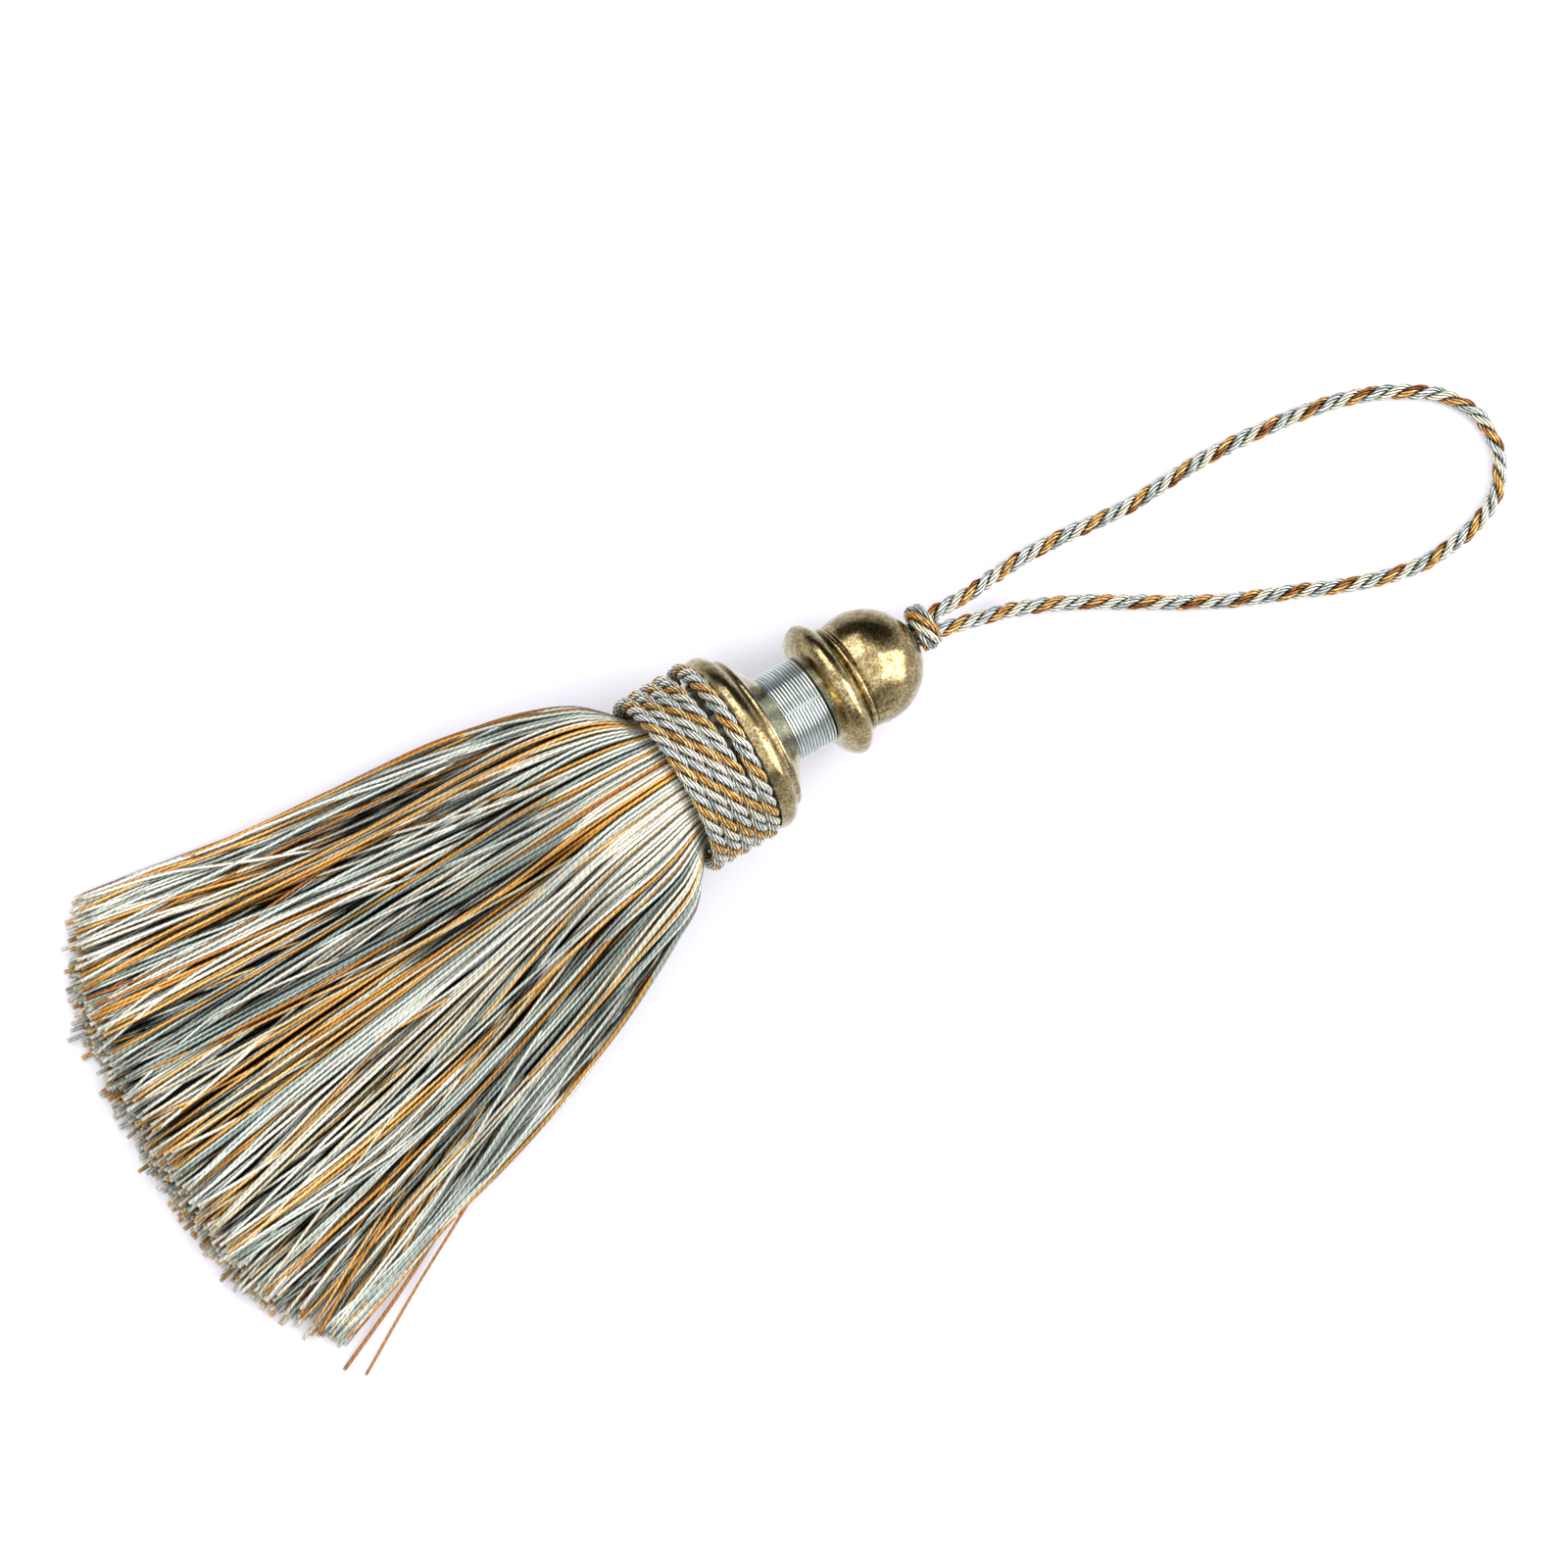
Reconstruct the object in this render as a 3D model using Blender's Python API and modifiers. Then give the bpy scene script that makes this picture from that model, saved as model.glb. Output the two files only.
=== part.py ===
"""Key tassel lying flat: cord loop and knot, turned gilded head, silk neck, cord ruff and thread skirt."""

import math

import bmesh
import bpy
from mathutils import Matrix, Vector

MM = 0.001

# Where the tassel lies. The head rests on its collar and its flange, so its axis dips towards the ball.
COLLAR_X = 42.87        # collar plane, ahead of the middle of the head and skirt
AXIS_Y = 11.8           # head axis, left of the middle because the skirt lies skewed to the right
AXIS_HEIGHT = 15.75     # head axis above the surface, in the collar plane
AXIS_DIP = 12.4         # degrees below level, ball end down

CLEARANCE = 0.3         # between neighbouring pieces
TURN_STEPS = 64         # facets round the turned pieces

# Cord: three plies twisted together, used for the loop, the knot and the ruff.
CORD_DIAMETER = 2.7
CORD_SPACING = 6.5      # between points along the tube

# Turned head. Distances run along the head axis from the collar plane, ball end positive.
BALL_CENTRE = 25.0
BALL_RADIUS = 9.85
BALL_FOOT_ANGLE = -18.0
BEAD_CENTRE = 21.1
BEAD_RADIUS = 0.6
BEAD_SEAT_RADIUS = 9.0
NECK_TOP = 14.6
NECK_FOOT = 7.0
NECK_CORE_RADIUS = 6.9
RIDGE_CENTRE = 3.0
RIDGE_RADIUS = 0.6
RIDGE_SEAT_RADIUS = 13.3
DOME_RADIUS = 2.4
DOME_SEAT_RADIUS = 13.65
DOME_CENTRE = -0.1
COLLAR_BACK = -1.58

# Silk winding on the neck.
WINDING_OUTER_RADIUS = 7.87

# Ruff of cord round the waist.
RUFF_TURNS = 5
RUFF_PITCH = 2.6
RUFF_OUTER_RADIUS = 16.5
RUFF_INNER_RADIUS = 13.75
RUFF_START = COLLAR_BACK - CLEARANCE - 0.02

# Knot: two turns round the legs of the loop.
KNOT_TURNS = 2
KNOT_TURN_PITCH = 2.3
KNOT_RADIUS = 4.25
KNOT_START = BALL_CENTRE + BALL_RADIUS + CLEARANCE

# Skirt.
SKIRT_COLUMNS = 32
SKIRT_THROAT_RADIUS = 13.4
SKIRT_TOOTH = 4.5       # how far every second column of the hem stands back
SKIRT_ARC = 13.0        # how far the side threads end short of the middle ones
SKIRT_CORNER = 0.65     # share of that which falls at the corners, so the middle of the hem is straighter

# Each row is one cross-section, with its distance behind the collar plane, the height of its widest line, its
# reach to the left and right of the head axis, its rise and drop from that line, the flat share of its
# underside and its lean in degrees.
SKIRT_SECTIONS = (
    # behind, height, left, right, rise, drop, flat, lean
    (16.1, 19.1, 14.6, 14.6, 14.4, 14.2, 0.00, 12.0),
    (18.5, 18.0, 17.9, 18.2, 16.4, 16.2, 0.05, 9.0),
    (23.5, 15.5, 21.4, 21.6, 19.0, 15.5, 0.20, 4.0),
    (30.0, 12.5, 24.5, 25.2, 19.5, 12.5, 0.40, 0.0),
    (41.0, 9.0, 26.8, 30.2, 17.0, 9.0, 0.55, 0.0),
    (55.0, 6.2, 28.1, 35.4, 13.6, 6.2, 0.66, 0.0),
    (71.0, 4.2, 29.4, 41.0, 10.6, 4.2, 0.74, 0.0),
    (88.0, 3.0, 31.0, 47.6, 8.4, 3.0, 0.80, 0.0),
    (104.0, 2.2, 33.2, 54.5, 7.0, 2.2, 0.84, 0.0),
    (120.0, 1.6, 35.2, 58.8, 6.0, 1.6, 0.87, 0.0),
)

# Route of the loop from the knot round and back, from the collar plane and the head axis, heights above the
# surface. It comes down from the knot and then lies on the surface.
LOOP_ROUTE = (
    # ahead, left, height
    (39.5, 1.9, 6.9),
    (45.5, 1.7, 5.1),
    (52.0, 2.1, 3.2),
    (58.5, 2.2, 1.9),
    (66.0, 1.8, 1.4),
    (76.0, 0.9, 1.4),
    (85.0, 1.3, 1.4),
    (93.0, 1.3, 1.4),
    (102.0, 0.3, 1.4),
    (110.5, -1.1, 1.4),
    (118.0, -3.2, 1.4),
    (125.0, -6.3, 1.4),
    (131.0, -10.6, 1.4),
    (134.3, -15.9, 1.4),
    (134.8, -20.4, 1.4),
    (133.6, -25.2, 1.4),
    (130.6, -29.2, 1.4),
    (125.8, -31.8, 1.4),
    (120.0, -33.0, 1.4),
    (112.5, -33.1, 1.4),
    (103.0, -30.5, 1.4),
    (93.0, -26.2, 1.4),
    (83.0, -21.9, 1.4),
    (75.5, -17.8, 1.4),
    (68.0, -13.2, 1.4),
    (61.5, -9.3, 1.5),
    (55.0, -6.1, 2.5),
    (48.5, -3.7, 4.2),
    (39.5, -1.3, 6.9),
)

HEAD_TURN = Matrix.Rotation(math.radians(90.0 + AXIS_DIP), 4, "Y")


def clear_scene():
    for item in list(bpy.data.objects):
        bpy.data.objects.remove(item, do_unlink=True)


def make_collection(name):
    collection = bpy.data.collections.new(name)
    bpy.context.scene.collection.children.link(collection)
    return collection


def make_material(name, colour, roughness, metallic):
    material = bpy.data.materials.new(name)
    material.use_nodes = True
    shader = material.node_tree.nodes["Principled BSDF"]
    shader.inputs["Base Color"].default_value = (*colour, 1.0)
    shader.inputs["Roughness"].default_value = roughness
    shader.inputs["Metallic"].default_value = metallic
    return material


def arc(seat_radius, centre, radius, start, end, steps):
    """Profile points on an arc, with angles in degrees from straight out, ball end positive."""
    points = []
    for step in range(steps + 1):
        angle = math.radians(start + (end - start) * step / steps)
        points.append((seat_radius + radius * math.cos(angle), centre + radius * math.sin(angle)))
    return points


def add_turned(name, profile, closed, material, collection, axis):
    """A piece turned round the head axis from (radius, along) points that run down its outer side."""
    mesh = bpy.data.meshes.new(name)
    edges = [(index, index + 1) for index in range(len(profile) - 1)]
    if closed:
        edges.append((len(profile) - 1, 0))
    mesh.from_pydata([(radius * MM, 0.0, along * MM) for radius, along in profile], edges, [])
    mesh.materials.append(material)
    piece = bpy.data.objects.new(name, mesh)
    collection.objects.link(piece)
    piece.parent = axis
    screw = piece.modifiers.new("Screw", "SCREW")
    screw.steps = TURN_STEPS
    screw.render_steps = TURN_STEPS
    screw.use_merge_vertices = True
    screw.merge_threshold = 0.00001
    return piece


def head_profile():
    ball = arc(0.0, BALL_CENTRE, BALL_RADIUS, 90.0, BALL_FOOT_ANGLE, 15)
    ball[0] = (0.0, BALL_CENTRE + BALL_RADIUS)
    bead = arc(BEAD_SEAT_RADIUS, BEAD_CENTRE, BEAD_RADIUS, 75.0, -75.0, 5)
    flange = [(8.85, 20.35), (9.7, 19.95), (11.1, 19.15), (11.85, 18.65), (12.1, 18.3), (12.1, 17.8),
              (11.8, 17.2), (11.0, 16.3), (9.8, 15.4), (8.5, NECK_TOP)]
    neck = [(NECK_CORE_RADIUS, NECK_TOP), (NECK_CORE_RADIUS, NECK_FOOT)]
    slope = [(8.4, NECK_FOOT), (9.1, 6.4), (10.4, 5.5), (11.7, 4.6), (12.8, 3.9)]
    ridge = arc(RIDGE_SEAT_RADIUS, RIDGE_CENTRE, RIDGE_RADIUS, 80.0, -20.0, 4)
    groove = [(13.85, 2.45)]
    dome = arc(DOME_SEAT_RADIUS, DOME_CENTRE, DOME_RADIUS, 66.0, -38.0, 9)
    back = [(0.0, COLLAR_BACK)]
    return ball + [(8.95, 21.8)] + bead + flange + neck + slope + ridge + groove + dome + back


def winding_profile():
    inner = NECK_CORE_RADIUS + CLEARANCE
    top = NECK_TOP - CLEARANCE
    foot = NECK_FOOT + CLEARANCE
    round_over = 0.2
    outer = WINDING_OUTER_RADIUS
    return [(inner, top), (outer - round_over, top), (outer, top - round_over), (outer, foot + round_over),
            (outer - round_over, foot), (inner, foot)]


def wound_outline(start, turns, pitch, outer_radius, first_angle):
    """Outer side of cord turns laid side by side, from the ball end down."""
    half = pitch / 2
    points = []
    for turn in range(turns):
        centre = start - half - turn * pitch
        points += arc(outer_radius - half, centre, half, first_angle, -first_angle, 5)
    return points


def ruff_profile():
    outline = wound_outline(RUFF_START, RUFF_TURNS, RUFF_PITCH, RUFF_OUTER_RADIUS, 72.0)
    foot = RUFF_START - RUFF_TURNS * RUFF_PITCH
    return [(RUFF_INNER_RADIUS, RUFF_START)] + outline + [(RUFF_INNER_RADIUS, foot)]


def knot_profile():
    top = KNOT_START + KNOT_TURNS * KNOT_TURN_PITCH
    outline = wound_outline(top, KNOT_TURNS, KNOT_TURN_PITCH, KNOT_RADIUS, 78.0)
    return [(0.0, top)] + outline + [(0.0, KNOT_START)]


def section_lines(section):
    """The upper and the lower line of one skirt section, from the right edge to the left one."""
    behind, height, left, right, rise, drop, flat, lean = section
    middle = (left - right) / 2
    half_width = (left + right) / 2
    fall = max(0.0, (behind - SKIRT_SECTIONS[0][0]) / (SKIRT_SECTIONS[-1][0] - SKIRT_SECTIONS[0][0]))
    up_x = math.sin(math.radians(lean))
    up_z = math.cos(math.radians(lean))
    upper_line = []
    lower_line = []
    for column in range(SKIRT_COLUMNS + 1):
        even = 2 * column / SKIRT_COLUMNS - 1
        crowded = -math.cos(math.pi * column / SKIRT_COLUMNS)
        across = crowded + (even - crowded) * fall
        bow = (1 - SKIRT_CORNER) * across ** 2 + SKIRT_CORNER * across ** 4
        ahead = -behind + SKIRT_ARC * fall ** 2 * bow
        if section is SKIRT_SECTIONS[-1] and column % 2:
            ahead += SKIRT_TOOTH
        side = middle + half_width * across
        corner = max(0.0, abs(across) - flat) / (1 - flat)
        rise_here = rise * math.sqrt(max(0.0, 1 - across ** 2))
        drop_here = drop * math.sqrt(max(0.0, 1 - corner ** 2))
        for line, offset in ((upper_line, rise_here), (lower_line, -drop_here)):
            line.append(place(ahead + up_x * offset, side, max(0.0, height + up_z * offset)))
    return upper_line, lower_line


def place(ahead, left, height):
    """World point from distances measured from the collar plane, the head axis and the surface."""
    return Vector(((COLLAR_X + ahead) * MM, (AXIS_Y + left) * MM, height * MM))


def throat_section(along):
    """The round section of the gathered threads under the ruff."""
    dip = math.radians(AXIS_DIP)
    radius = SKIRT_THROAT_RADIUS
    return (-along * math.cos(dip), AXIS_HEIGHT - along * math.sin(dip), radius, radius, radius, radius, 0.0,
            AXIS_DIP)


def add_skirt(material, collection):
    """A loft from the round throat under the ruff to the wide, flat hem, which is cut as a comb."""
    ruff_foot = RUFF_START - RUFF_TURNS * RUFF_PITCH
    throat = [throat_section(RUFF_START), throat_section(ruff_foot - CLEARANCE)]
    shape = bmesh.new()
    rows = []
    for section in throat + list(SKIRT_SECTIONS):
        upper_line, lower_line = section_lines(section)
        uppers = [shape.verts.new(point) for point in upper_line]
        inner = [shape.verts.new(point) for point in lower_line[1:-1]]
        rows.append((uppers, [uppers[0]] + inner + [uppers[-1]]))
    strips = [rows[0], rows[-1]]
    for row, following in zip(rows, rows[1:]):
        strips += list(zip(row, following))
    for near, far in strips:
        for column in range(SKIRT_COLUMNS):
            corners = (near[column], near[column + 1], far[column + 1], far[column])
            shape.faces.new(list(dict.fromkeys(corners)))
    bmesh.ops.triangulate(shape, faces=shape.faces)
    bmesh.ops.recalc_face_normals(shape, faces=shape.faces)
    mesh = bpy.data.meshes.new("skirt")
    shape.to_mesh(mesh)
    shape.free()
    mesh.shade_smooth()
    mesh.set_sharp_from_angle(angle=math.radians(40.0))
    mesh.materials.append(material)
    collection.objects.link(bpy.data.objects.new("skirt", mesh))


def smooth_route(route, spacing):
    """Points at even steps along a Catmull-Rom curve through the route's own points."""
    knots = [Vector(point) for point in route]
    knots = [2 * knots[0] - knots[1]] + knots + [2 * knots[-1] - knots[-2]]
    fine = []
    for before, start, end, after in zip(knots, knots[1:], knots[2:], knots[3:]):
        for step in range(20):
            t = step / 20
            square = (2 * before - 5 * start + 4 * end - after) * t ** 2
            cube = (3 * start - before - 3 * end + after) * t ** 3
            fine.append(0.5 * (2 * start + (end - before) * t + square + cube))
    fine.append(knots[-2])
    walked = [0.0]
    for start, end in zip(fine, fine[1:]):
        walked.append(walked[-1] + (end - start).length)
    count = round(walked[-1] / spacing)
    points = []
    index = 0
    for step in range(count + 1):
        target = walked[-1] * step / count
        while index < len(fine) - 2 and walked[index + 1] < target:
            index += 1
        share = (target - walked[index]) / (walked[index + 1] - walked[index])
        points.append(fine[index].lerp(fine[index + 1], share))
    return points


def add_loop(material, collection):
    points = smooth_route(LOOP_ROUTE, CORD_SPACING)
    curve = bpy.data.curves.new("hanging_loop", "CURVE")
    curve.dimensions = "3D"
    curve.bevel_depth = CORD_DIAMETER / 2 * MM
    curve.bevel_resolution = 2
    curve.use_fill_caps = True
    spline = curve.splines.new("POLY")
    spline.points.add(len(points) - 1)
    for target, point in zip(spline.points, points):
        target.co = (*place(*point), 1.0)
    spline.use_smooth = True
    curve.materials.append(material)
    collection.objects.link(bpy.data.objects.new("hanging_loop", curve))


def main():
    clear_scene()
    tassel = make_collection("key_tassel")
    axis = bpy.data.objects.new("head_axis", None)
    tassel.objects.link(axis)
    axis.matrix_world = Matrix.Translation(place(0.0, 0.0, AXIS_HEIGHT)) @ HEAD_TURN

    gilt = make_material("antique_gilt", (0.42, 0.31, 0.13), 0.38, 1.0)
    silk = make_material("pale_blue_silk", (0.52, 0.63, 0.63), 0.45, 0.0)
    cord = make_material("three_ply_cord", (0.66, 0.52, 0.34), 0.6, 0.0)
    threads = make_material("skirt_thread", (0.52, 0.50, 0.42), 0.6, 0.0)

    add_turned("turned_head", head_profile(), False, gilt, tassel, axis)
    add_turned("neck_winding", winding_profile(), True, silk, tassel, axis)
    add_turned("ruff_band", ruff_profile(), True, cord, tassel, axis)
    add_turned("loop_knot", knot_profile(), False, cord, tassel, axis)
    add_skirt(threads, tassel)
    add_loop(cord, tassel)


main()
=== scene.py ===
import math
import bpy
import numpy as np
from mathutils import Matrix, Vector


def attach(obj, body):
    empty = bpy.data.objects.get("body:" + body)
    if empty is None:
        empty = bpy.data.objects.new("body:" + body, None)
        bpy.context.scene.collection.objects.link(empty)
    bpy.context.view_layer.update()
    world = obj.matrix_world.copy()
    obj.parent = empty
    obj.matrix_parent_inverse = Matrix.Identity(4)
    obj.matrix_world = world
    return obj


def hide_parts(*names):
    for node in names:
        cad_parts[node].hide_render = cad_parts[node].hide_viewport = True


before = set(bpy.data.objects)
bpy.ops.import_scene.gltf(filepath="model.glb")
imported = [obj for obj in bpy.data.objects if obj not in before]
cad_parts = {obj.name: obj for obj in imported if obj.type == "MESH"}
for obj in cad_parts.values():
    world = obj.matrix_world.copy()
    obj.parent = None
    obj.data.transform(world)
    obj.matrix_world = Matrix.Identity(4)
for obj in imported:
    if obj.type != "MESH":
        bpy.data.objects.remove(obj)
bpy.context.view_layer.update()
mm = 0.001

# how the tassel lies: its collar's plane and its axis, which dips towards the ball, in mm and degrees
lie = {"collarX": 42.87, "axisY": 11.8, "axisHeight": 15.75, "dip": 12.4}
dip = math.radians(lie["dip"])
axisAlong = np.array([math.cos(dip), 0.0, -math.sin(dip)])
axisUp = np.array([math.sin(dip), 0.0, math.cos(dip)])
axisLeft = np.array([0.0, 1.0, 0.0])
upright = np.array([0.0, 0.0, 1.0])
collarCentre = np.array([lie["collarX"], lie["axisY"], lie["axisHeight"]])
collarFoot = np.array([lie["collarX"], lie["axisY"], 0.0])

# the camera and the lights come first, because the loop's reach is judged from the camera
view = {"turn": 31.0, "middle": (45.8, 2.1, 5.0), "distance": 1500.0, "width": 262.3, "sensor": 36.0}


def addObject(name, data):
    thing = bpy.data.objects.new(name, data)
    bpy.context.scene.collection.objects.link(thing)
    return thing


def towards(right, up):
    # a direction across the camera's view, in the part's own X and Y
    turn = math.radians(view["turn"])
    ahead = right * math.cos(turn) + up * math.sin(turn)
    left = -right * math.sin(turn) + up * math.cos(turn)
    return Vector((ahead, left, 0.0))


def makeCamera():
    data = bpy.data.cameras.new("camera")
    data.sensor_width = view["sensor"]
    data.lens = view["sensor"] * view["distance"] / view["width"]
    camera = addObject("camera", data)
    camera.location = Vector(view["middle"]) * mm + Vector((0.0, 0.0, view["distance"] * mm))
    camera.rotation_euler = (0.0, 0.0, -math.radians(view["turn"]))
    bpy.context.scene.camera = camera


def linearColour(hexValue):
    channels = [int(hexValue[start:start + 2], 16) / 255 for start in (1, 3, 5)]
    return tuple(c / 12.92 if c <= 0.04045 else ((c + 0.055) / 1.055) ** 2.4 for c in channels) + (1.0,)


def setUp(node, settings=None, links=None):
    # settings are the node's own options, or sockets where the key is a socket's name or number;
    # a link comes from a socket, or from a node's first output
    for key, value in (settings or {}).items():
        if isinstance(key, str) and hasattr(node, key):
            setattr(node, key, value)
        else:
            node.inputs[key].default_value = value
    for key, source in (links or {}).items():
        socket = source.outputs[0] if hasattr(source, "outputs") else source
        node.id_data.links.new(socket, node.inputs[key])
    return node


def addNode(tree, kind, settings=None, links=None):
    return setUp(tree.nodes.new("ShaderNode" + kind), settings, links)


def newMaterial(name):
    material = bpy.data.materials.new(name)
    material.use_nodes = True
    tree = material.node_tree
    return material, tree, tree.nodes["Principled BSDF"]


def setStops(ramp, stops):
    # places along a colour ramp and the linear colours there
    elements = ramp.color_ramp.elements
    while len(elements) < len(stops):
        elements.new(0.5)
    for element, (place, colour) in zip(elements, stops):
        element.position = place
        element.color = colour


# softboxes by their bearing from the right of the view and their height above the floor, both in degrees
lights = (
    {"name": "rightSoftbox", "bearing": 4.0, "height": 31.0, "wide": 780, "tall": 900, "radiance": 4.2},
    {"name": "leftSoftbox", "bearing": 121.0, "height": 43.0, "wide": 700, "tall": 720, "radiance": 2.5},
)
lightDistance = 900.0


def makeLights():
    middle = Vector(view["middle"]) * mm
    for setup in lights:
        data = bpy.data.lights.new(setup["name"], "AREA")
        data.shape = "RECTANGLE"
        data.size = setup["wide"] * mm
        data.size_y = setup["tall"] * mm
        data.energy = setup["radiance"] * math.pi * data.size * data.size_y
        lamp = addObject(setup["name"], data)
        bearing = math.radians(setup["bearing"])
        height = math.radians(setup["height"])
        level = towards(math.cos(bearing), math.sin(bearing)) * math.cos(height)
        lamp.location = middle + (level + Vector((0, 0, math.sin(height)))) * lightDistance * mm
        lamp.rotation_euler = (middle - lamp.location).to_track_quat("-Z", "Y").to_euler()


# the studio's brightness by height, from -1 straight down to 1 straight up
studio = {
    "strength": 1.75,
    "flagEdge": (0.5, 0.85),  # how squarely the flag is faced where it fades in, and where it is full
    "flag": ((-1.0, 0.55), (-0.5, 0.45), (-0.32, 0.25), (-0.2, 0.02), (0.52, 0.02), (0.68, 0.4),
             (0.85, 0.95), (1.0, 0.95)),
    "walls": ((-1.0, 0.62), (-0.3, 0.6), (-0.1, 0.52), (0.05, 0.44), (0.25, 0.34), (0.42, 0.22),
              (0.52, 0.26), (0.64, 0.55), (0.8, 0.95), (1.0, 0.95)),
}


def makeWorld():
    # a bright ceiling over darker walls, and one dark flag, so that gilt and silk have something to mirror
    world = bpy.data.worlds.new("studio")
    world.use_nodes = True
    tree = world.node_tree
    tree.nodes.clear()
    place = addNode(tree, "TexCoord").outputs["Generated"]
    split = addNode(tree, "SeparateXYZ", links={0: place})
    height = addNode(tree, "MapRange", {"From Min": -1.0, "From Max": 1.0}, {0: split.outputs["Z"]})
    flag = addNode(tree, "ValToRGB", links={0: height})
    walls = addNode(tree, "ValToRGB", links={0: height})
    for ramp, levels in ((flag, studio["flag"]), (walls, studio["walls"])):
        setStops(ramp, [((level + 1) / 2, (grey, grey, grey, 1.0)) for level, grey in levels])
    facing = addNode(tree, "VectorMath", {"operation": "DOT_PRODUCT", 1: towards(0.0, 1.0)}, {0: place})
    fadeIn, full = studio["flagEdge"]
    share = addNode(tree, "MapRange",
                    {"interpolation_type": "SMOOTHSTEP", "From Min": fadeIn, "From Max": full},
                    {0: facing.outputs["Value"]})
    mixed = addNode(tree, "MixRGB", links={0: share, 1: walls, 2: flag})
    sky = addNode(tree, "Background", {"Strength": studio["strength"]}, {"Color": mixed})
    addNode(tree, "OutputWorld", links={"Surface": sky})
    bpy.context.scene.world = world


table = {"size": 3000.0, "colour": "#e4e3eb", "glow": "#e9e8ff", "glowStrength": 0.05}


def makeFloor():
    mesh = bpy.data.meshes.new("floor")
    half = table["size"] / 2 * mm
    corners = [(-half, -half, 0), (half, -half, 0), (half, half, 0), (-half, half, 0)]
    mesh.from_pydata(corners, [], [(0, 1, 2, 3)])
    floor = addObject("floor", mesh)
    floor.visible_glossy = False  # gilt and silk mirror the studio's own lower half instead
    paper, _, shader = newMaterial("lightTable")  # lit from below, which leaves only faint violet shadows
    colour, glow = linearColour(table["colour"]), linearColour(table["glow"])
    setUp(shader, {"Base Color": colour, "Roughness": 0.9, "Emission Color": glow,
                   "Emission Strength": table["glowStrength"]})
    mesh.materials.append(paper)


makeCamera()
makeLights()
makeWorld()
makeFloor()
bpy.context.scene.view_settings.view_transform = "Standard"
print("camera, lights and floor are in place")


# helpers for meshes, which are all in millimetres until the mesh itself is made

def unit(vectors):
    return vectors / np.maximum(np.linalg.norm(vectors, axis=-1, keepdims=True), 1e-9)


def eased(share):
    return share * share * (3 - 2 * share)


def walkedAlong(paths):
    # how far along its path each point lies
    steps = np.linalg.norm(np.diff(paths, axis=-2), axis=-1)
    return np.concatenate([np.zeros(steps.shape[:-1] + (1,)), np.cumsum(steps, axis=-1)], axis=-1)


def frameAlong(paths, reference):
    # two directions square to each path and to each other, the first leaning towards the reference
    tangents = unit(np.gradient(paths, axis=1))
    normals = unit(reference - tangents * np.sum(reference * tangents, axis=-1, keepdims=True))
    return normals, np.cross(tangents, normals)


def addUv(mesh, name, values):
    layer = mesh.uv_layers.new(name=name)
    layer.data.foreach_set("uv", values.astype(np.float32).reshape(-1))


def ringFaces(bands, rows, segments):
    # quads between neighbouring rings; where there are as many bands as rows, the last ring meets the first
    faces = []
    for row in range(bands):
        below = (row + 1) % rows
        for column in range(segments):
            after = (column + 1) % segments
            faces.append((row * segments + column, row * segments + after, below * segments + after,
                          below * segments + column))
    return faces


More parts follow.
